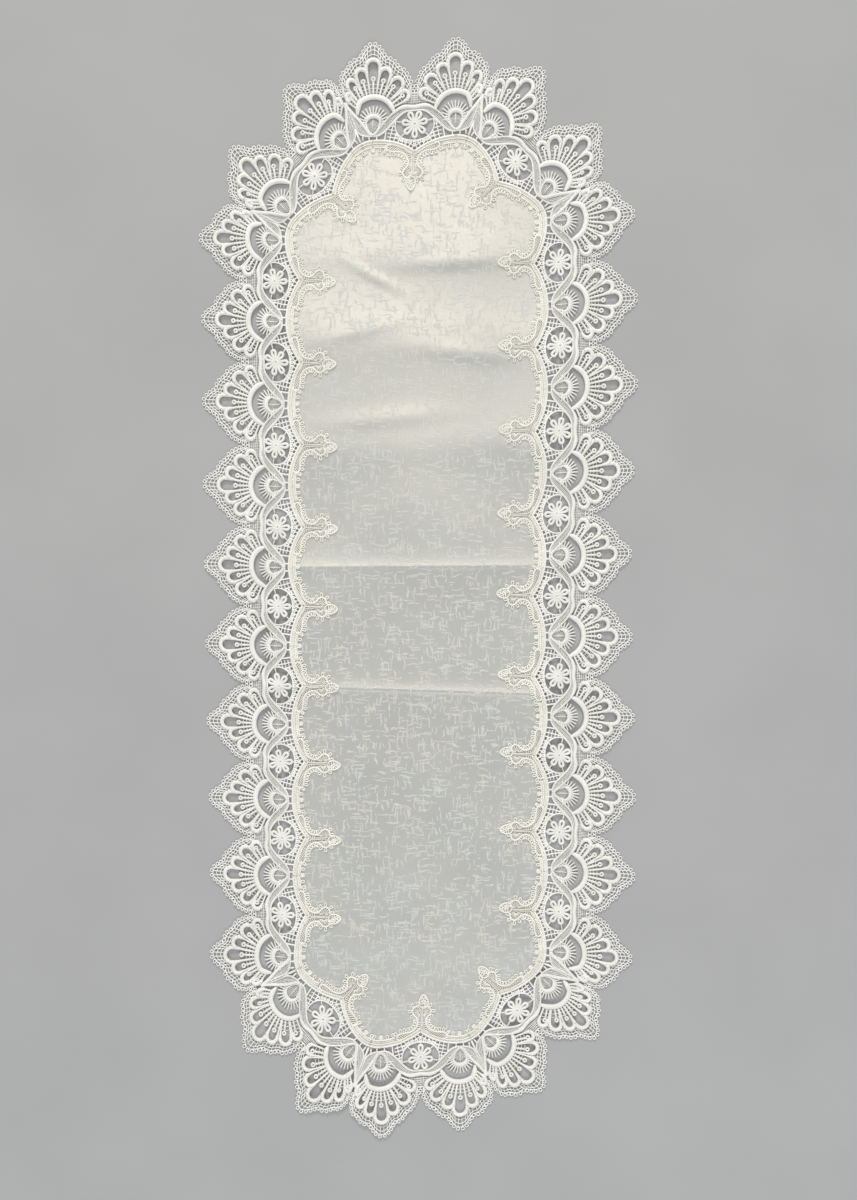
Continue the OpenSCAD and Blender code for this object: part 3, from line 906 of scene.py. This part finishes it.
def crackle_figure(m, here):
    """The woven figure: strokes along the weft and the warp, bent a little where a noise shifts them."""
    wobble = m.add("TexNoise", {"Vector": here, "Scale": 140, "Detail": 3.0})
    shift = m.add("VectorMath", {0: wobble.outputs["Color"], 1: (0.5, 0.5, 0.5)}, operation="SUBTRACT")
    bend = m.add("VectorMath", {0: shift.outputs[0], "Scale": 0.0062}, operation="SCALE")
    bent = m.add("VectorMath", {0: here, 1: bend.outputs[0]}, operation="ADD").outputs[0]
    figure, *others = [figure_strokes(m, bent, *stroke_set) for stroke_set in STROKE_SETS]
    for strokes in others:
        figure = m.math("MAXIMUM", figure, strokes)
    return figure


def satin_cloth(name):
    """Jacquard satin: a glossy ground with a crackle figure of paler, duller strokes that stand up a little,
    over a fine weave and slubs."""
    m = Nodes(name)
    here = m.add("TexCoord").outputs["Object"]
    figure = crackle_figure(m, here)
    shade = m.fade(m.noise(here, 14, 3), 0.3, 0.7)
    tint = m.fade(m.noise(here, 22, 2), 0.42, 0.58)
    ground = colour_mix(m, shade, (0.40, 0.41, 0.39, 1), (0.435, 0.445, 0.42, 1))
    stroke = colour_mix(m, tint, (0.59, 0.575, 0.52, 1), (0.565, 0.585, 0.565, 1))
    m.set(m.shader.inputs["Base Color"], colour_mix(m, figure, ground, stroke))
    m.set(m.shader.inputs["Roughness"], m.fade(figure, 0, 1, 0.31, 0.75))
    m.set(m.shader.inputs["Specular IOR Level"], m.fade(figure, 0, 1, 1.0, 0.05))
    m.shader.inputs["IOR"].default_value = 1.8
    split = m.add("SeparateXYZ", {"Vector": here})
    warp = m.math("SINE", m.math("MULTIPLY", split.outputs["X"], 2 * np.pi / WARP_GAP))
    weft = m.math("SINE", m.math("MULTIPLY", split.outputs["Y"], 2 * np.pi / WEFT_GAP))
    weave = m.math("MULTIPLY", m.math("ADD", warp, weft), 0.05)
    slubs = m.math("MULTIPLY", m.noise(here, 420, 3), 0.25)
    height = m.math("ADD", m.math("ADD", weave, slubs), m.math("MULTIPLY", figure, 0.7))
    bump = m.add("Bump", {"Height": height, "Strength": 0.4, "Distance": 0.00025})
    m.set(m.shader.inputs["Normal"], bump.outputs["Normal"])
    m.shader.inputs["Sheen Weight"].default_value = 0.15
    return m.material


def plain_floor():
    """Pale paper, almost of one tone."""
    m = Nodes("floor_paper")
    here = m.add("TexCoord").outputs["Object"]
    tone = m.fade(m.noise(here, 6, 3), 0.3, 0.7)
    paper = colour_mix(m, tone, (0.365, 0.37, 0.375, 1), (0.385, 0.39, 0.395, 1))
    m.set(m.shader.inputs["Base Color"], paper)
    m.shader.inputs["Roughness"].default_value = 0.9
    m.shader.inputs["Specular IOR Level"].default_value = 0.2
    return m.material


# ---------------------------------------------------------------- camera, floor and light

def make_camera():
    data = bpy.data.cameras.new("camera")
    data.lens = 36
    data.sensor_width = 36
    camera = bpy.data.objects.new("camera", data)
    camera.location = (0.0089, 0.0564, 1.0035)
    camera.rotation_euler = np.radians((-3.16, 0, -0.33))
    bpy.context.scene.collection.objects.link(camera)
    bpy.context.scene.camera = camera


FLOOR_HALF = 12         # metres


def make_floor():
    mesh = bpy.data.meshes.new("floor")
    corners = [(FLOOR_HALF * x, FLOOR_HALF * y, 0) for x, y in ((-1, -1), (1, -1), (1, 1), (-1, 1))]
    mesh.from_pydata(corners, [], [(0, 1, 2, 3)])
    mesh.materials.append(plain_floor())
    floor = bpy.data.objects.new("floor", mesh)
    floor.location.z = -0.0002      # just under the runner
    bpy.context.scene.collection.objects.link(floor)
    return floor


def area_light(name, place_at, size, power, colour):
    """A rectangle of light that faces the runner's middle."""
    data = bpy.data.lights.new(name, "AREA")
    data.shape = "RECTANGLE"
    data.size, data.size_y = size
    data.energy = power
    data.color = colour
    light = bpy.data.objects.new(name, data)
    light.location = place_at
    light.rotation_euler = (-Vector(place_at)).to_track_quat("-Z", "Y").to_euler()
    bpy.context.scene.collection.objects.link(light)


def light_scene():
    """A grey room, a window beyond the top end, a weaker fill, and a panel that the satin's top mirrors."""
    world = bpy.data.worlds.new("studio")
    world.use_nodes = True
    room = world.node_tree.nodes["Background"]
    room.inputs["Color"].default_value = (0.95, 0.97, 1.0, 1)
    room.inputs["Strength"].default_value = 0.47
    bpy.context.scene.world = world
    area_light("far_window", (-0.6, 5.5, 3.0), (2.4, 1.5), 290, (1.0, 0.985, 0.955))
    area_light("near_fill", (0.4, -2.6, 2.0), (1.6, 1.2), 42, (0.97, 0.985, 1.0))
    area_light("gloss_panel", (0.0, 1.0, 2.2), (0.7, 0.9), 11, (1.0, 0.87, 0.70))
    bpy.context.scene.view_settings.view_transform = "Standard"


# ---------------------------------------------------------------- the runner

PIECES = ("ribbon", "shells", "pods", "daisies", "ladder", "scrolls", "picot_edge")


def make_strip(strip, satin, net, braid):
    """The seven pieces of one lace strip."""
    valleys = [pod + 0.5 for pod in range(strip.pods - 1)]
    pieces = {name: Lace() for name in PIECES}
    for pod in range(strip.pods):
        pieces["shells"].lay(SHELL, strip, pod)
        pieces["picot_edge"].lay(PICOT_MESH, strip, pod)
        pieces["pods"].lay(POD, strip, pod)
        for sided, is_end in ((mirrored, pod == 0), (list, pod == strip.pods - 1)):
            ladder, band_part = (LADDER_MITRE, BAND_MITRE) if is_end else (LADDER_HALF, BAND_HALF)
            pieces["ladder"].lay(sided(ladder), strip, pod, crowding=False)
            pieces["scrolls"].lay(sided(band_part), strip, pod, CLOTH_T, crowding=False)
    for valley in valleys:
        pieces["ribbon"].lay(RIBBON_SPAN, strip, valley)
        pieces["daisies"].lay(DAISY, strip, valley)
        pieces["ladder"].lay(ARCH, strip, valley)
        pieces["scrolls"].lay(MOTIF, strip, valley, CLOTH_T)
        pieces["picot_edge"].lay(VALLEY_MESH, strip, valley)
    pieces["ribbon"].lay(mirrored(RIBBON_MITRE), strip, 0, crowding=False)
    pieces["ribbon"].lay(RIBBON_MITRE, strip, strip.pods - 1, crowding=False)
    materials = {"ladder": net, "picot_edge": net, "scrolls": braid}
    return [lace.make(f"{strip.name}_{name}_lace", name, materials.get(name, satin), f"{strip.name}_{name}")
            for name, lace in pieces.items()]


def make_stitches(material):
    """The zigzags over all eight mitres, as one piece."""
    lace = Lace()
    for strip in STRIPS:
        lace.lay(MITRE_ZIGZAG, strip, strip.pods - 1, crowding=False)
    return lace.make("mitre_stitching", "stitches", material, "mitre_stitches")


make_camera()
floor = make_floor()
light_scene()

SHELL, PICOT_MESH, VALLEY_MESH = shell(), picot_mesh(), valley_mesh()
POD, DAISY, ARCH = pod(), daisy(), arch()
RIBBON_SPAN, RIBBON_MITRE = ribbon_span(), ribbon_mitre()
LADDER_HALF, LADDER_MITRE = ladder_half(), ladder_mitre()
BAND_HALF, BAND_MITRE, MOTIF, MITRE_ZIGZAG = band_half(), band_mitre(), motif(), mitre_zigzag()

satin = satin_thread("satin_cord", (0.82, 0.82, 0.785, 1), (0.745, 0.745, 0.705, 1))
# The net and the braid are the same ivory thread as satin_cord, painted paler to make up for the shade that
# falls on them among and under the cords.
net = satin_thread("net_thread_painted_paler", (0.87, 0.87, 0.845, 1), (0.81, 0.81, 0.78, 1), rib=0.6, depth=0.25,
                   roughness=0.6)
braid = satin_thread("braid_cord_painted_paler", (0.875, 0.865, 0.80, 1), (0.80, 0.79, 0.725, 1), depth=0.3, roughness=0.4)
lace_pieces = [piece for strip in STRIPS for piece in make_strip(strip, satin, net, braid)]
lace_pieces.append(make_stitches(net))
cloth, cloth_size, cloth_area = make_cloth(satin_cloth("figured_satin"))
